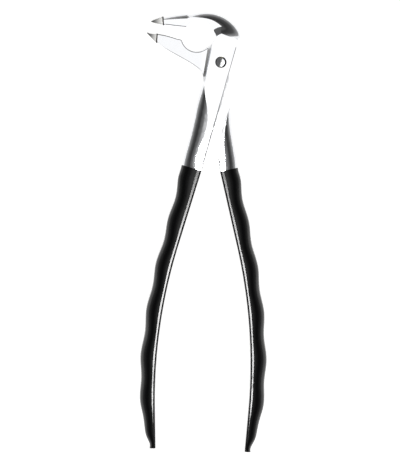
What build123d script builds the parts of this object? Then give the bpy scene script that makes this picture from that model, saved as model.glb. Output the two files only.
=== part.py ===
from build123d import *
import math
import os

# A slim one-hand nipper of the right-angle forceps pattern, lying flat, in millimetres.
# Origin: the pivot axis, on the back face of the rear lap. +X points away from the jaws,
# +Y from the handles to the head, +Z out of the front face, where the screw's slot is.
# It is modelled with the jaws a little open.

os.makedirs("parts", exist_ok=True)

# Head
lap_half = 3.8  # half the head's thickness at the joint, and the height of the mid-plane
lap_gap = 0.04  # between the two lap faces
lap_radius = 8.2  # round top of the rear lap, about the pivot
lap_clearance = 0.3  # between that round and the front lever's shoulder
plate_lean = 16.0  # the front plate leans this much from +Y, degrees
plate_right = 4.5  # pivot axis to the front plate's right edge
plate_left = 4.6  # pivot axis to its left edge, at the level of the pivot
reach_past = 20.0  # cutters run this far past the steel

# Throat and jaws
throat_centre = (-8.9, 10.6)
throat_radius = 6.4
hollow_centre = (-9.7, 10.55)  # the lower jaw's share of the throat
hollow_radius = 6.3
crest_centre = (1.9, 6.1)  # the front plate's round end, where the arch begins to slope
crest_radius = 5.7
crest_run = 2.9
crest_fall = 0.9
jaw_half = 2.4  # half the jaws' thickness where the tips are set in
jaw_root_half = 2.8  # half the upper jaw's thickness beside the throat
knee = (-15.9, 9.1)  # the lower jaw's corner beside the throat
knee_round = 1.1
jaw_edge_round = 0.4  # along the lower jaw's edges towards the throat
jaw_edge_bevel = 0.3  # and along its outer ones
plate_edge_round = 0.45
plate_bevel = 0.6  # along the plate's left edge

# Tips and the brazed bands behind them
upper_seat = ((-23.05, 15.4), (-23.35, 18.6))  # lower and upper ends of the jaw's end face
lower_seat = ((-25.9, 8.2), (-25.6, 11.6))
upper_tip_length = 5.15
lower_tip_length = 4.5
tip_slim = 0.12  # the tips are this much slimmer than the jaws, all round
tip_round = 0.15
band_width = 0.5
band_proud = 0.1
band_round = 0.5
tenon_radius = 0.8
tenon_length = 3.0
tenon_clearance = 0.03

# Pivot screw
screw_radius = 1.5
screw_head_radius = 2.1
screw_head_height = 1.3
screw_recess = 0.15  # the head lies this far below the front face; the end is flush
screw_crown = 0.6  # rounding of the head's rim
running_clearance = 0.05
head_clearance = 0.2
slot_width = 0.5
slot_depth = 0.7
slot_lean = 13.0
worn_tilt = 17.0  # the head's left half slopes away from the slot

# Handles: the line of their inner edges, the same on both sides
handle_axis_x = -2.4
handle_lean = 2.2  # the line midway between the handles leans this much
seam_reach = 44.3  # from the pivot to the seam between steel and grip
seam_gap = 3.8  # half the gap between the handles there
splay = 15.0
straight_length = 31.8
bow_radius = 213.0
bow_turn = 18.0
tail_length = 16.4

# Grips
wave_depth = 0.4  # half the height of a finger wave
wave_pitch = 18.35
first_wave = 4.05
wave_count = 6
grip_depth = 6.2  # inner edge to the middle of the waves
left_seam_depth = 8.4
right_seam_depth = 7.4
seam_fade = 20.0  # over this length the depth at the seam settles to grip_depth
grip_end_depth = 2.5
end_taper = 33.0  # the last stretch narrows to the end
grip_half = 4.7  # half the grip's thickness in the palm
grip_seam_half = 4.0
grip_end_half = 2.0
grip_proud = 0.1  # the grips stand this much above the steel at the seam

# Tangs inside the grips
tang_inset = 1.3
tang_width = 2.6
tang_half = 2.3
tang_bend = 15.0
tang_clearance = 0.03
core_room = 0.4  # the cavity runs this much past the tang's end


mid_plane = Plane.XY.offset(lap_half)


def polar(centre, radius, angle):
    """Point at a distance and an angle from a centre."""
    turn = math.radians(angle)
    return (centre[0] + radius * math.cos(turn), centre[1] + radius * math.sin(turn))


def plate_point(across, up):
    """Point in the front plate's leaning frame: across to the right, up to the jaws."""
    lean = math.radians(plate_lean)
    return (
        across * math.cos(lean) + up * math.sin(lean),
        up * math.cos(lean) - across * math.sin(lean),
    )


def cross_plane(inner, outer):
    """Plane across a lever, its origin at the inner edge and its x towards the outer one."""
    across = Vector(outer[0] - inner[0], outer[1] - inner[1], 0)
    return Plane(origin=(inner[0], inner[1], lap_half), x_dir=across, z_dir=across.cross(Vector(0, 0, 1)))


def d_section(inner, outer, half, crown, corner_x=0.4, corner_z=0.4, brow=1.05):
    """Closed D: flat inner wall, rounded corners, flat crown, and an elliptical nose outside.

    crown is where the flat ends, from the inner wall. brow above 1 leaves an edge there.
    """
    width = math.dist(inner, outer)
    start = math.asin(1 / brow)
    nose = (width - crown) / (1 - math.cos(start))
    turn = math.degrees(start)
    with BuildSketch(cross_plane(inner, outer)) as section:
        with BuildLine():
            Line((0, corner_z - half), (0, half - corner_z))
            EllipticalCenterArc(
                (corner_x, half - corner_z), corner_x, corner_z, start_angle=180, arc_size=-90
            )
            Line((corner_x, half), (crown, half))
            EllipticalCenterArc(
                (width - nose, 0), nose, half * brow, start_angle=turn, arc_size=-2 * turn
            )
            Line((crown, -half), (corner_x, -half))
            EllipticalCenterArc(
                (corner_x, corner_z - half), corner_x, corner_z, start_angle=270, arc_size=-90
            )
        make_face()
    return section.sketch


def handle_path(side, inset=0.0, turn=bow_turn, tail=tail_length):
    """Line of a handle: straight, bowed inwards, straight again. side is 1 left, -1 right.

    inset moves it outwards from the inner edge.
    """
    angle = math.radians(splay)
    start = Vector(
        seam_gap + inset * math.cos(angle),
        seam_reach - inset * math.sin(angle),
    )
    with BuildLine() as line:
        straight = Line(start, start + Vector(math.sin(angle), math.cos(angle)) * straight_length)
        bow = JernArc(straight @ 1, straight % 1, bow_radius + inset, turn)
        if tail > 0:
            Line(bow @ 1, (bow @ 1) + (bow % 1) * tail)
    lean = math.radians(handle_lean)
    frame = Plane(
        origin=(handle_axis_x, 0, lap_half),
        x_dir=(-side * math.cos(lean), side * math.sin(lean), 0),
        z_dir=(0, 0, side),
    )
    return frame.from_local_coords(line.wire())


def handle_station(path, side, share, depth):
    """Inner and outer points of a handle, at a share of its path."""
    inner = path @ share
    outward = (path % share).cross(Vector(0, 0, side))
    outer = inner + outward * depth
    return (inner.X, inner.Y), (outer.X, outer.Y)


def tang_section(path, side, grow):
    """Rectangle across the start of a tang's path, grown by a clearance."""
    start = path @ 0
    aside = start + (path % 0).cross(Vector(0, 0, side))
    with BuildSketch(cross_plane((start.X, start.Y), (aside.X, aside.Y))) as section:
        Rectangle(tang_width + 2 * grow, 2 * (tang_half + grow))
    return section.sketch


def tang(side, grow=0.0):
    """Tang of a lever, or with grow the cavity that takes it."""
    room = math.degrees(core_room / bow_radius) if grow else 0
    path = handle_path(side, tang_inset + tang_width / 2, tang_bend + room, 0)
    return sweep(tang_section(path, side, grow), path, mode=Mode.PRIVATE)


def window(outline, level, depth):
    """Cutter for one lap's share of the head: an outline, from a level above the mid-plane."""
    with BuildSketch(mid_plane.offset(level)) as face:
        with BuildLine():
            outline()
        make_face()
    return extrude(face.sketch, amount=depth, mode=Mode.PRIVATE)


def jaw_root():
    """Section of the upper jaw where it meets the arch."""
    return d_section((-13.6, 14.3), (-13.6, 20.15), jaw_root_half, crown=3.5, brow=1.35)


def upper_jaw_sections():
    """Sections of the upper jaw, from the tip's seat to its root."""
    return [
        d_section(*upper_seat, jaw_half, crown=1.9, brow=1.35),
        d_section((-18.5, 14.8), (-18.8, 19.5), 2.6, crown=2.8, brow=1.35),
        jaw_root(),
    ]


def arch_foot():
    """Section of the arch where it reaches the plate."""
    return d_section((-2.9, 8.4), (7.65, 9.6), 5.2, crown=8.5, corner_x=3.8, corner_z=3.0)


def arch_sections():
    """Sections of the arch, round the throat to the plate. The throat's cut trims their inside."""
    over = polar(throat_centre, throat_radius - 2.6, 90), polar(throat_centre, throat_radius + 3.4, 90)
    shoulder = polar(throat_centre, throat_radius - 1.2, 45), polar(throat_centre, throat_radius + 6.05, 45)
    haunch = polar(throat_centre, throat_radius - 0.05, 12.5), polar(throat_centre, throat_radius + 9.5, 12.5)
    return [
        jaw_root(),
        d_section(*over, 2.9, crown=3.8, brow=1.35),
        d_section(*shoulder, 3.25, crown=2.2, corner_x=1.0, corner_z=0.8, brow=1.2),
        d_section(*haunch, 3.8, crown=1.4, corner_x=1.2, corner_z=1.2, brow=2.0),
        arch_foot(),
    ]


def crest_cut(face):
    """Ring-shaped cutter that slopes the arch away from the plate's round end. face is 1 or -1."""
    with BuildSketch(Plane((*crest_centre, lap_half), x_dir=(1, 0, 0), z_dir=(0, -1, 0))) as ring:
        with BuildLine():
            Polyline(
                (crest_radius, face * lap_half),
                (crest_radius + crest_run, face * (lap_half - crest_fall)),
                (crest_radius + reach_past, face * (lap_half - crest_fall)),
                (crest_radius + reach_past, face * 2 * lap_half),
                (crest_radius, face * 2 * lap_half),
                close=True,
            )
        make_face()
    axis = Axis((*crest_centre, 0), (0, 0, 1))
    return revolve(ring.sketch, axis=axis, mode=Mode.PRIVATE)


def plate_top():
    """Left and right ends of the line where the plate's straight edges begin."""
    return plate_point(-5.9, 6.4), plate_point(plate_right, 7.6)


def shank_sections(stations, seam, seam_crown):
    """Sections of a shank, from (inner, outer, crown) stations to the grip's seam."""
    sections = []
    for inner, outer, crown in stations:
        sections.append(d_section(inner, outer, lap_half, crown))
    sections.append(d_section(*seam, lap_half, seam_crown))
    return sections


def front_shank_stations():
    """Stations of the left shank, below the plate."""
    stations = []
    for down, left, crown in ((9.0, 4.6, 8.7), (14.0, 5.2, 7.2), (20.0, 4.9, 4.5), (31.0, 4.15, 2.8)):
        stations.append((plate_point(plate_right, -down), plate_point(-left, -down), crown))
    return stations


rear_shank_stations = [
    ((-6.0, -12.0), (3.85, -12.0), 9.5),
    ((-4.65, -19.0), (4.2, -19.0), 7.8),
    ((-3.4, -25.0), (4.55, -24.8), 5.4),
    ((-1.85, -33.0), (5.45, -32.2), 3.2),
]


def rear_recess():
    """Outline of the rear lever's front recess, where the front plate lies and swings."""
    shoulder = Spline((-1.2, -44.0), (-0.75, -38.5), (0.0, -33.0), (0.95, -27.6), (2.3, -22.4), (4.6, -17.4))
    Polyline(
        shoulder @ 1,
        (reach_past, -10.0),
        (reach_past, reach_past),
        (-4.2, reach_past),
        (-4.9, 8.2),
        (-7.45, -6.6),
        (-reach_past, -12.0),
        (-reach_past, -44.0),
        shoulder @ 0,
    )


def front_recess():
    """Outline of the front lever's back recess, where the rear lap lies and swings."""
    radius = lap_radius + lap_clearance
    shoulder = Spline((-6.5, -41.0), (-6.5, -36.0), (-6.8, -30.0), (-7.3, -24.0), (-8.2, -18.0), (-10.2, -13.0))
    arch = CenterArc((0, 0), radius, 35, 85)
    Polyline(
        shoulder @ 1,
        (-reach_past, -8.0),
        (-reach_past, 6.0),
        arch @ 1,
    )
    Polyline(arch @ 0, (reach_past, 4.0), (reach_past, -41.0), shoulder @ 0)


def jaw_edges(lever, low, high):
    """Edges of the lower jaw's front and back faces, with their middles between two heights."""
    near = lever.edges().filter_by_position(Axis.X, -24, -9).filter_by_position(Axis.Y, low, high)
    return near.filter_by(lambda edge: abs(edge.center().Z - lap_half) > jaw_half / 2)


def seat_plane(seat):
    """Plane of a jaw's end face: x up across the jaw, z out towards the tip."""
    low, high = seat
    across = Vector(high[0] - low[0], high[1] - low[1], 0)
    middle = ((low[0] + high[0]) / 2, (low[1] + high[1]) / 2, lap_half)
    return Plane(origin=middle, x_dir=across, z_dir=across.cross(Vector(0, 0, -1)))


def tip_section(seat, out, low, high, half):
    """Rounded rectangle across a tip, at a distance out from the jaw's end face."""
    with BuildSketch(seat_plane(seat).offset(out)) as section:
        with Locations(((low + high) / 2, 0)):
            RectangleRounded(high - low, 2 * half, tip_round)
    return section.sketch


def tip_sections(seat, length, bend):
    """Base, middle and point of a tip. bend gives the low and high edge of the middle and the point."""
    half_width = math.dist(*seat) / 2 - tip_slim
    middle_out = band_width + 0.52 * (length - band_width)
    return [
        tip_section(seat, band_width, -half_width, half_width, jaw_half - tip_slim),
        tip_section(seat, middle_out, *bend[0], jaw_half - 0.45),
        tip_section(seat, length, *bend[1], jaw_half - 1.1),
    ]


def tenon(seat, grow=0.0):
    """Round tenon of a tip, or with grow its socket, from inside the jaw to the tip's base."""
    deep = tenon_length + grow
    with BuildSketch(seat_plane(seat).offset(-deep)) as circle:
        Circle(tenon_radius + grow)
    return extrude(circle.sketch, amount=deep + band_width, mode=Mode.PRIVATE)


def grip_size(along, length, seam_depth):
    """Depth and half thickness of a grip, at a distance from the seam."""
    depth = grip_depth + (seam_depth - grip_depth) * math.exp(-along / seam_fade)
    fade = min(1, max(0, (first_wave + (wave_count - 0.5) * wave_pitch - along) / (wave_pitch / 2)))
    depth += wave_depth * fade * math.cos(2 * math.pi * (along - first_wave) / wave_pitch)
    late = max(0, along - length + end_taper) / end_taper
    depth -= (grip_depth - grip_end_depth) * late**2.2
    swell = math.sin(math.pi * min(1, along / (length - end_taper)) / 2)
    half = grip_seam_half + (grip_half - grip_seam_half) * swell
    half -= (grip_half - grip_end_half) * late**2
    return depth, half


def grip_sections(side, seam_depth):
    """Sections of a grip, four to a finger wave."""
    path = handle_path(side)
    length = path.length
    count = round(4 * length / wave_pitch)
    sections = []
    for step in range(count + 1):
        share = step / count
        depth, half = grip_size(share * length, length, seam_depth)
        inner, outer = handle_station(path, side, share, depth)
        sections.append(d_section(inner, outer, half, max(0.8, 0.2 * depth), 0.7, 0.7, 1.02))
    return sections


seams = {}
for side, depth in ((1, left_seam_depth), (-1, right_seam_depth)):
    seams[side] = handle_station(handle_path(side), side, 0, depth - grip_proud)

# ---- Front lever: upper jaw, arch, front half of the lap, left shank and its tang ----
with BuildPart() as plate:
    with BuildSketch(mid_plane):
        with BuildLine():
            Polyline(
                *plate_top(),
                plate_point(plate_right, -9.5),
                plate_point(-plate_left, -9.5),
                close=True,
            )
        make_face()
    extrude(amount=lap_half, both=True)
    left_edge = (*plate_point(-plate_left, -8), 2 * lap_half)
    chamfer(plate.edges().sort_by_distance(left_edge)[0], length=plate_bevel)
    right_edge = (*plate_point(plate_right, 0), 2 * lap_half)
    fillet(plate.edges().sort_by_distance(right_edge)[0], radius=plate_edge_round)

with BuildPart() as front_lever:
    loft(sections=arch_sections())
    loft(sections=[arch_foot(), d_section(*plate_top(), 5.4, crown=9.3)])
    split(bisect_by=mid_plane.offset(lap_half), keep=Keep.BOTTOM)
    split(bisect_by=mid_plane.offset(-lap_half), keep=Keep.TOP)
    add(crest_cut(1), mode=Mode.SUBTRACT)
    add(crest_cut(-1), mode=Mode.SUBTRACT)
    loft(sections=upper_jaw_sections())
    add(plate.part)
    loft(sections=shank_sections(front_shank_stations(), seams[1], 2.3))
    with BuildSketch(mid_plane):
        with Locations(throat_centre):
            Circle(throat_radius)
    extrude(amount=reach_past, both=True, mode=Mode.SUBTRACT)
    add(window(front_recess, lap_gap / 2, -reach_past), mode=Mode.SUBTRACT)
    add(tang(1))
    add(tenon(upper_seat, tenon_clearance), mode=Mode.SUBTRACT)
    with Locations((0, 0, 2 * lap_half)):
        CounterBoreHole(
            radius=screw_radius + running_clearance,
            counter_bore_radius=screw_head_radius + head_clearance,
            counter_bore_depth=screw_recess + screw_head_height + running_clearance,
        )
front_lever.part.label = "front_lever"

# ---- Rear lever: lower jaw, rear half of the lap, right shank and its tang ----
with BuildPart() as rear_lever:
    with BuildSketch(mid_plane) as outline:
        with BuildLine():
            top = Spline(lower_seat[1], (-21.4, 10.75), (-17.8, 9.6))
            round_top = CenterArc((0, 0), lap_radius, 126, -85)
            Polyline(top @ 1, (-6.5, 7.5), round_top @ 0)
            right = Spline(round_top @ 1, (4.3, 0.0), (3.3, -5.0), (3.6, -9.0), (3.85, -13.0))
            Polyline(right @ 1, (-5.8, -13.0), (-7.2, -6.4))
            below = Spline((-7.2, -6.4), (-8.3, -3.4), (-10.5, -1.5), (-15.4, 1.5), (-22.7, 5.75), lower_seat[0])
            Line(below @ 1, top @ 0)
        make_face()
        with Locations(hollow_centre):
            Circle(hollow_radius, mode=Mode.SUBTRACT)
        fillet(outline.vertices().sort_by_distance(knee)[0], radius=knee_round)
    extrude(amount=lap_half, both=True)
    with BuildSketch(Plane.XZ):
        with BuildLine():
            Polyline(
                (-26.0, lap_half - jaw_half),
                (-7.5, 0.0),
                (reach_past, 0.0),
                (reach_past, 2 * lap_half),
                (-7.5, 2 * lap_half),
                (-26.0, lap_half + jaw_half),
                close=True,
            )
        make_face()
    extrude(amount=3 * reach_past, both=True, mode=Mode.INTERSECT)
    fillet(jaw_edges(rear_lever, 3.5, 12.0), radius=jaw_edge_round)
    chamfer(jaw_edges(rear_lever, 0.0, 3.5), length=jaw_edge_bevel)
    loft(sections=shank_sections(rear_shank_stations, seams[-1], 2.1))
    add(window(rear_recess, -lap_gap / 2, reach_past), mode=Mode.SUBTRACT)
    add(tang(-1))
    add(tenon(lower_seat, tenon_clearance), mode=Mode.SUBTRACT)
    Hole(radius=screw_radius)
rear_lever.part.label = "rear_lever"

# ---- Pivot screw: slotted, its end threaded into the rear lever ----
with BuildPart() as pivot_screw:
    head_top = 2 * lap_half - screw_recess
    with BuildSketch(Plane.XY.offset(head_top - screw_head_height)):
        Circle(screw_head_radius)
    extrude(amount=screw_head_height)
    fillet(pivot_screw.faces().sort_by(Axis.Z)[-1].edges(), radius=screw_crown)
    with BuildSketch():
        Circle(screw_radius)
    extrude(amount=head_top - screw_head_height)
    with BuildSketch(Plane.XY.offset(head_top)):
        Rectangle(slot_width, 3 * screw_head_radius, rotation=-slot_lean)
    extrude(amount=-slot_depth, mode=Mode.SUBTRACT)
    with Locations(Location((0, 0, head_top), (0, -worn_tilt, -slot_lean))):
        Box(*3 * [3 * screw_head_radius], align=(Align.MAX, Align.CENTER, Align.MIN), mode=Mode.SUBTRACT)
pivot_screw.part.label = "pivot_screw"

# ---- Hard tips, and the brazed bands that hold them to the jaws ----
with BuildPart() as upper_jaw_tip:
    loft(sections=tip_sections(upper_seat, upper_tip_length, ((-0.83, 0.98), (-0.03, 0.33))))
    add(tenon(upper_seat))
upper_jaw_tip.part.label = "upper_jaw_tip"

with BuildPart() as lower_jaw_tip:
    loft(sections=tip_sections(lower_seat, lower_tip_length, ((0.02, 1.52), (1.65, 2.01))))
    add(tenon(lower_seat))
lower_jaw_tip.part.label = "lower_jaw_tip"

bands = []
for seat, name in ((upper_seat, "upper_tip_seam"), (lower_seat, "lower_tip_seam")):
    with BuildPart() as tip_seam:
        with BuildSketch(seat_plane(seat)):
            RectangleRounded(math.dist(*seat) + 2 * band_proud, 2 * (jaw_half + band_proud), band_round)
        extrude(amount=band_width)
        add(tenon(seat, tenon_clearance), mode=Mode.SUBTRACT)
    tip_seam.part.label = name
    bands.append(tip_seam.part)

# ---- Grips: black sleeves with finger waves, over the tangs ----
grips = []
for side, name, depth in ((1, "left_grip", left_seam_depth), (-1, "right_grip", right_seam_depth)):
    with BuildPart() as grip:
        loft(sections=grip_sections(side, depth))
        add(tang(side, tang_clearance), mode=Mode.SUBTRACT)
    grip.part.label = name
    grips.append(grip.part)

pieces = [front_lever.part, rear_lever.part, pivot_screw.part, upper_jaw_tip.part, lower_jaw_tip.part]
for piece in pieces + bands + grips:
    export_step(piece, f"parts/{piece.label}.step")
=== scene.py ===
import bmesh
import bpy
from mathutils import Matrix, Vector


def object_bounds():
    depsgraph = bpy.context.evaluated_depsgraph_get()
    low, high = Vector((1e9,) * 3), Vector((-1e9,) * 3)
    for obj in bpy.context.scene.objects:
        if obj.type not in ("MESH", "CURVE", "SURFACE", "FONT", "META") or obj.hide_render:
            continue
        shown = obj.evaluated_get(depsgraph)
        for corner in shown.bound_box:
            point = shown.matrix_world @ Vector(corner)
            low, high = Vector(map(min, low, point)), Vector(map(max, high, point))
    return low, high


# A slim steel nipper with black finger-waved grips, lying on a white table.

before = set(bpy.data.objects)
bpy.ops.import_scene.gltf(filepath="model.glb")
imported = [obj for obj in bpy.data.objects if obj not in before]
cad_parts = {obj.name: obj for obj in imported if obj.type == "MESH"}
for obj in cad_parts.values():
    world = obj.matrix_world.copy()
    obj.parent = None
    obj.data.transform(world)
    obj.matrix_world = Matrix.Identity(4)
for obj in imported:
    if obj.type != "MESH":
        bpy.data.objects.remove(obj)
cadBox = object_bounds()
print("frame loaded")


def linear(hexColour):
    # one sRGB hex value to a linear colour
    channels = [int(hexColour[i:i + 2], 16) / 255 for i in (1, 3, 5)]
    return [c / 12.92 if c <= 0.04045 else ((c + 0.055) / 1.055) ** 2.4
            for c in channels] + [1.0]


def addNode(tree, kind, values=None, links=None, **settings):
    # one node with its settings, its socket values and the sockets that feed it
    node = tree.nodes.new(kind)
    for name, value in settings.items():
        setattr(node, name, value)
    for socket, value in (values or {}).items():
        node.inputs[socket].default_value = value
    for socket, source in (links or {}).items():
        tree.links.new(source, node.inputs[socket])
    return node


def newMaterial(name):
    # an empty material with one shader, ready for its sockets to be set
    material = bpy.data.materials.new(name)
    material.use_nodes = True
    tree = material.node_tree
    tree.nodes.clear()
    output = addNode(tree, "ShaderNodeOutputMaterial")
    shader = addNode(tree, "ShaderNodeBsdfPrincipled")
    tree.links.new(shader.outputs["BSDF"], output.inputs["Surface"])
    return material, tree, shader


def ramp(tree, source, stops):
    # a grey ramp through (position, level) pairs
    node = addNode(tree, "ShaderNodeValToRGB", links={"Fac": source})
    elements = node.color_ramp.elements
    while len(elements) < len(stops):
        elements.new(0.5)
    for element, (position, level) in zip(elements, stops):
        element.position = position
        element.color = (level, level, level, 1.0)
    return node.outputs["Color"]


def perMetre(millimetres):
    # noise scale for a pattern of this size
    return 1000 / millimetres


# Stainless steel, ground and then buffed bright by hand: mirror-like, with faint
# cloudy patches from the buffing wheel and a very shallow ripple left by the grinding.
# Shade is painted darker into the steel's corners and gaps.
polishedSteel = {
    "colour": "#E4E5E7",
    "patchSize": 3.2,            # mm, cloudy patches of the buffing
    "patchDetail": 5.0,
    "patchRoughness": 0.6,
    "patchRange": (0.35, 0.68),  # noise levels that give roughLow and roughHigh
    "roughLow": 0.04,
    "roughHigh": 0.1,
    "rippleSize": 5.0,           # mm, waviness left by hand grinding
    "rippleDetail": 2.0,
    "rippleDepth": 0.03,         # mm
    "cornerShadeColour": "#26251F",          # painted shade: a dark colour laid into corners and gaps, where shade falls
    "cornerShadeReach": 1.6,           # mm
    "cornerShadeRange": (0.25, 0.75),  # openness that is all painted shade and all unshaded
    "cornerShadeSamples": 12,
}


def makePolishedSteel(name, settings):
    material, tree, shader = newMaterial(name)
    place = addNode(tree, "ShaderNodeTexCoord").outputs["Object"]

    patches = addNode(tree, "ShaderNodeTexNoise",
                      {"Scale": perMetre(settings["patchSize"]),
                       "Detail": settings["patchDetail"],
                       "Roughness": settings["patchRoughness"]},
                      {"Vector": place})
    smoothest, roughest = settings["patchRange"]
    rough = ramp(tree, patches.outputs["Fac"], [(smoothest, settings["roughLow"]),
                                                (roughest, settings["roughHigh"])])
    tree.links.new(rough, shader.inputs["Roughness"])

    ripple = addNode(tree, "ShaderNodeTexNoise",
                     {"Scale": perMetre(settings["rippleSize"]),
                      "Detail": settings["rippleDetail"]},
                     {"Vector": place})
    bump = addNode(tree, "ShaderNodeBump",
                   {"Strength": 1.0, "Distance": settings["rippleDepth"] / 1000},
                   {"Height": ripple.outputs["Fac"]})
    tree.links.new(bump.outputs["Normal"], shader.inputs["Normal"])

    # painted shade: ambient occlusion darkens the base colour towards the dark corner
    # colour in corners, gaps and recesses, where shade falls
    corner = addNode(tree, "ShaderNodeAmbientOcclusion",
                     {"Distance": settings["cornerShadeReach"] / 1000},
                     samples=settings["cornerShadeSamples"])
    fullyShaded, unshaded = settings["cornerShadeRange"]
    unshadedAmount = ramp(tree, corner.outputs["AO"], [(fullyShaded, 0.0), (unshaded, 1.0)])
    paintedShadeMix = addNode(tree, "ShaderNodeMix",
                   {"A": linear(settings["cornerShadeColour"]), "B": linear(settings["colour"])},
                   data_type="RGBA")
    tree.links.new(unshadedAmount, paintedShadeMix.inputs["Factor"])
    tree.links.new(paintedShadeMix.outputs["Result"], shader.inputs["Base Color"])

    shader.inputs["Metallic"].default_value = 1.0
    return material


# Black plastic sleeve from a polished mould: deep black with a sharp gloss and a soft
# orange-peel.
blackSleeve = {
    "colour": "#060607",
    "roughness": 0.16,
    "ior": 1.5,
    "peelSize": 2.5,       # mm
    "peelDetail": 3.0,
    "peelDepth": 0.004,    # mm
}


def makeBlackSleeve(name, settings):
    material, tree, shader = newMaterial(name)
    place = addNode(tree, "ShaderNodeTexCoord").outputs["Object"]
    peel = addNode(tree, "ShaderNodeTexNoise",
                   {"Scale": perMetre(settings["peelSize"]),
                    "Detail": settings["peelDetail"]},
                   {"Vector": place})
    bump = addNode(tree, "ShaderNodeBump",
                   {"Strength": 1.0, "Distance": settings["peelDepth"] / 1000},
                   {"Height": peel.outputs["Fac"]})
    tree.links.new(bump.outputs["Normal"], shader.inputs["Normal"])
    shader.inputs["Base Color"].default_value = linear(settings["colour"])
    shader.inputs["Roughness"].default_value = settings["roughness"]
    shader.inputs["IOR"].default_value = settings["ior"]
    return material


# the screw is turned and polished, a little duller than the buffed levers
turnedScrew = dict(polishedSteel, colour="#C9CACC", roughLow=0.1, roughHigh=0.2)
# the tips are sintered hard metal, finely ground, slightly greyer than the steel
groundTip = dict(polishedSteel, colour="#C6C6C4", roughLow=0.16, roughHigh=0.26)
# brazing under the tips: dark oxidised filler metal, dull
brazedSeam = dict(polishedSteel, colour="#34312E", roughLow=0.35, roughHigh=0.5)

steel = makePolishedSteel("polished stainless steel", polishedSteel)
screwSteel = makePolishedSteel("turned stainless screw", turnedScrew)
hardMetal = makePolishedSteel("ground hard metal", groundTip)
darkBraze = makePolishedSteel("dark brazing", brazedSeam)
sleeve = makeBlackSleeve("black gloss plastic", blackSleeve)

finishes = {
    "front_lever": steel, "rear_lever": steel, "pivot_screw": screwSteel,
    "upper_jaw_tip": hardMetal, "lower_jaw_tip": hardMetal,
    "upper_tip_seam": darkBraze, "lower_tip_seam": darkBraze,
    "left_grip": sleeve, "right_grip": sleeve,
}
for piece, finish in finishes.items():
    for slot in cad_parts[piece].material_slots:
        slot.link = "OBJECT"
        slot.material = finish
print("finishes set")

studio = {
    "tableColour": "#F6F6F5",
    "tableRoughness": 0.9,
    "tableSize": 8.0,      # m
    "tableGlow": 0.62,     # a light table, so that it stays white with hardly a shadow
    "stripSize": (0.11, 0.5),
    "stripPower": 7.5,
    "stripHeight": 1.5,    # m above the tool
    "stripBack": 0.2,      # m from the tool's middle, towards the handle ends
}

table = bpy.data.objects.new("table", bpy.data.meshes.new("table"))
bpy.context.collection.objects.link(table)
work = bmesh.new()
bmesh.ops.create_grid(work, x_segments=1, y_segments=1, size=studio["tableSize"] / 2)
bmesh.ops.translate(work, verts=work.verts, vec=(0, 0, cadBox[0][2]))
work.to_mesh(table.data)
work.free()
tableFinish, _, tableShader = newMaterial("matt white light table")
tableShader.inputs["Base Color"].default_value = linear(studio["tableColour"])
tableShader.inputs["Roughness"].default_value = studio["tableRoughness"]
tableShader.inputs["Emission Color"].default_value = (1.0, 1.0, 1.0, 1.0)
tableShader.inputs["Emission Strength"].default_value = studio["tableGlow"]
table.data.materials.append(tableFinish)

# m, the point on the tool that the camera looks at, between the two handles
toolMiddle = Vector((-0.00847, -0.06748, 0.0038))

# one narrow strip light, which draws the white line along the gloss grips
stripData = bpy.data.lights.new("strip over the grips", "AREA")
stripData.shape = "RECTANGLE"
stripData.size, stripData.size_y = studio["stripSize"]
stripData.energy = studio["stripPower"]
strip = bpy.data.objects.new("strip over the grips", stripData)
bpy.context.collection.objects.link(strip)
strip.location = toolMiddle + Vector((0, -studio["stripBack"], studio["stripHeight"]))

# A light tent: bright overhead, with a dark ring round it that pales again near the
# table. The polished steel gets its white and dark bands from this.
tent = {
    "lowest": -0.2,        # upward part of the direction that the ramp starts at
    "highest": 1.0,        # straight up
    # upward part of the direction, and the brightness there
    "levels": [(-0.2, 0.3), (0.0, 0.5), (0.25, 0.3), (0.5, 0.09),
               (0.7, 0.04), (0.86, 0.2), (0.96, 1.05), (0.99, 1.27)],
    "brightest": 1.27,
}
world = bpy.data.worlds.new("light tent")
bpy.context.scene.world = world
world.use_nodes = True
worldTree = world.node_tree
toSky = addNode(worldTree, "ShaderNodeTexCoord").outputs["Generated"]
up = addNode(worldTree, "ShaderNodeSeparateXYZ", links={"Vector": toSky}).outputs["Z"]
height = addNode(worldTree, "ShaderNodeMapRange",
                 {"From Min": tent["lowest"], "From Max": tent["highest"]},
                 {"Value": up})
tentSpan = tent["highest"] - tent["lowest"]
tentStops = [((z - tent["lowest"]) / tentSpan, level / tent["brightest"])
             for z, level in tent["levels"]]
fade = ramp(worldTree, height.outputs["Result"], tentStops)
background = worldTree.nodes["Background"]
worldTree.links.new(fade, background.inputs["Color"])
background.inputs["Strength"].default_value = tent["brightest"]

# the camera looks straight down on the tool
shot = {
    "height": 1.2,         # m above the tool
    "frameHeight": 0.186,  # m, seen from top to bottom
    "sensor": 24.0,        # mm
}
cameraData = bpy.data.cameras.new("camera")
cameraData.sensor_fit = "VERTICAL"
cameraData.sensor_height = shot["sensor"]
cameraData.lens = shot["sensor"] * shot["height"] / shot["frameHeight"]
camera = bpy.data.objects.new("camera", cameraData)
bpy.context.collection.objects.link(camera)
camera.location = toolMiddle + Vector((0, 0, shot["height"]))
bpy.context.scene.camera = camera
bpy.context.scene.view_settings.view_transform = "Standard"
print("studio ready")

bpy.context.view_layer.update()
